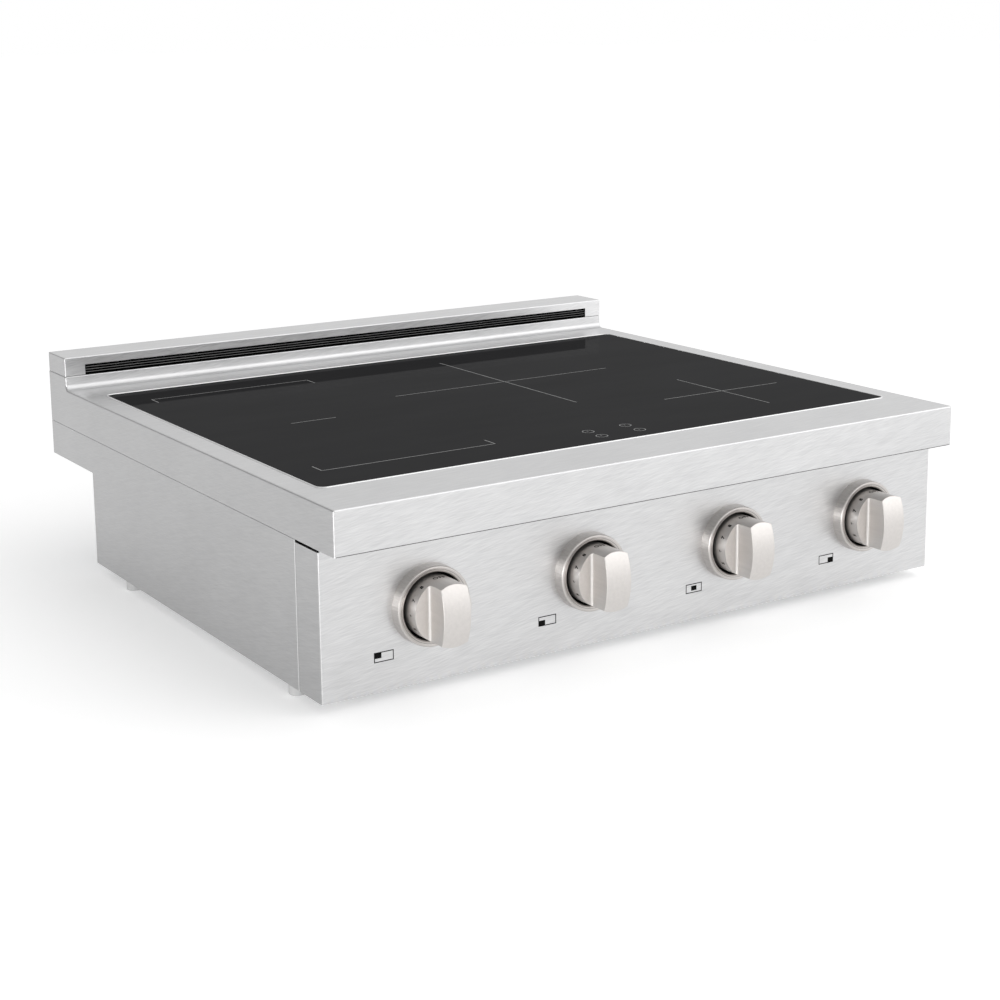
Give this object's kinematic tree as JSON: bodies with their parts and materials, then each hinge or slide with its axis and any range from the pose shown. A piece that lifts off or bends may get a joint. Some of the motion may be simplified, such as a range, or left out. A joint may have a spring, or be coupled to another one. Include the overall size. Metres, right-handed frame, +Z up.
{
  "type": "induction cooktop",
  "caption": "Slide-in electric induction cooktop with a black glass top, low rear air guard and turning knobs on a stainless front panel.",
  "frame": {"origin": "centre of the bounding box at the bottom of the feet", "axes": "+X to the right seen from the front, +Y to the back, +Z up"},
  "size_m": [0.759, 0.7293, 0.237],
  "materials": {
    "brushed_stainless": "brushed, fine straight grain",
    "galvanised_steel": "zinc coated, dull",
    "black_glass": "smooth black glass-ceramic",
    "silicone": "satin black",
    "black_vent": "satin black",
    "satin_nickel": "satin, brushed round",
    "satin_nickel_knob": "satin",
    "plated_steel": "bright zinc plate",
    "rubber": "matt grey",
    "nylon": "natural",
    "black_plastic": "fine texture",
    "coil_plastic": "heat resistant moulding",
    "copper": "lacquered litz wire",
    "ferrite": "sintered ceramic",
    "mica": "pressed mica paper",
    "ceramic": "fired ceramic",
    "aluminium": "mill finish",
    "circuit_board": "solder resist"
  },
  "bodies": {
    "chassis": {"backguard_cap": "brushed_stainless", "bezel_1": "satin_nickel", "bezel_2": "satin_nickel", "bezel_3": "satin_nickel", "bezel_4": "satin_nickel", "bottom_plate": "galvanised_steel", "chassis_screws": "plated_steel", "coil_carrier_1": "coil_plastic", "coil_carrier_2": "coil_plastic", "coil_carrier_3": "coil_plastic", "coil_carrier_4": "coil_plastic", "coil_sensors": "ceramic", "coil_tray": "aluminium", "coil_winding_1": "copper", "coil_winding_2": "copper", "coil_winding_3": "copper", "coil_winding_4": "copper", "control_board": "circuit_board", "control_panel": "brushed_stainless", "encoder_1": "black_plastic", "encoder_2": "black_plastic", "encoder_3": "black_plastic", "encoder_4": "black_plastic", "fan_frame_left": "black_plastic", "fan_frame_right": "black_plastic", "feet": "rubber", "ferrite_bars_1": "ferrite", "ferrite_bars_2": "ferrite", "ferrite_bars_3": "ferrite", "ferrite_bars_4": "ferrite", "filter_board": "circuit_board", "glass_seal": "silicone", "glass_top": "black_glass", "heatsink_left": "aluminium", "heatsink_right": "aluminium", "mica_sheets": "mica", "power_board_left": "circuit_board", "power_board_right": "circuit_board", "rear_panel": "galvanised_steel", "side_panel_left": "brushed_stainless", "side_panel_right": "brushed_stainless", "terminal_block": "black_plastic", "top_deck": "brushed_stainless", "touch_board": "circuit_board", "vent_grille": "black_vent"},
    "push_1": {"thrust_cup_1": "nylon"},
    "dial_1": {"knob_1": "satin_nickel_knob", "knob_shaft_1": "plated_steel"},
    "push_2": {"thrust_cup_2": "nylon"},
    "dial_2": {"knob_2": "satin_nickel_knob", "knob_shaft_2": "plated_steel"},
    "push_3": {"thrust_cup_3": "nylon"},
    "dial_3": {"knob_3": "satin_nickel_knob", "knob_shaft_3": "plated_steel"},
    "push_4": {"thrust_cup_4": "nylon"},
    "dial_4": {"knob_4": "satin_nickel_knob", "knob_shaft_4": "plated_steel"},
    "fan_left": {"fan_rotor_left": "black_plastic"},
    "fan_right": {"fan_rotor_right": "black_plastic"}
  },
  "joints": [
    {"name": "knob_push_1", "type": "slide", "parent": "chassis", "child": "push_1", "axis": [0, 1, 0], "range_m": [0, 0.003], "stiffness_N_per_m": 900, "springref_m": -0.004},
    {"name": "knob_turn_1", "type": "hinge", "parent": "push_1", "child": "dial_1", "pos_m": [-0.2668, -0.31215, 0.0864], "axis": [0, 1, 0], "range_deg": [0, 250]},
    {"name": "knob_push_2", "type": "slide", "parent": "chassis", "child": "push_2", "axis": [0, 1, 0], "range_m": [0, 0.003], "stiffness_N_per_m": 900, "springref_m": -0.004},
    {"name": "knob_turn_2", "type": "hinge", "parent": "push_2", "child": "dial_2", "pos_m": [-0.0856, -0.31215, 0.0864], "axis": [0, 1, 0], "range_deg": [0, 250]},
    {"name": "knob_push_3", "type": "slide", "parent": "chassis", "child": "push_3", "axis": [0, 1, 0], "range_m": [0, 0.003], "stiffness_N_per_m": 900, "springref_m": -0.004},
    {"name": "knob_turn_3", "type": "hinge", "parent": "push_3", "child": "dial_3", "pos_m": [0.0956, -0.31215, 0.0864], "axis": [0, 1, 0], "range_deg": [0, 250]},
    {"name": "knob_push_4", "type": "slide", "parent": "chassis", "child": "push_4", "axis": [0, 1, 0], "range_m": [0, 0.003], "stiffness_N_per_m": 900, "springref_m": -0.004},
    {"name": "knob_turn_4", "type": "hinge", "parent": "push_4", "child": "dial_4", "pos_m": [0.2768, -0.31215, 0.0864], "axis": [0, 1, 0], "range_deg": [0, 250]},
    {"name": "fan_spin_left", "type": "hinge", "parent": "chassis", "child": "fan_left", "pos_m": [-0.205, 0.16145, 0.0244], "axis": [0, 0, 1], "continuous": true},
    {"name": "fan_spin_right", "type": "hinge", "parent": "chassis", "child": "fan_right", "pos_m": [0.205, 0.16145, 0.0244], "axis": [0, 0, 1], "continuous": true}
  ]
}
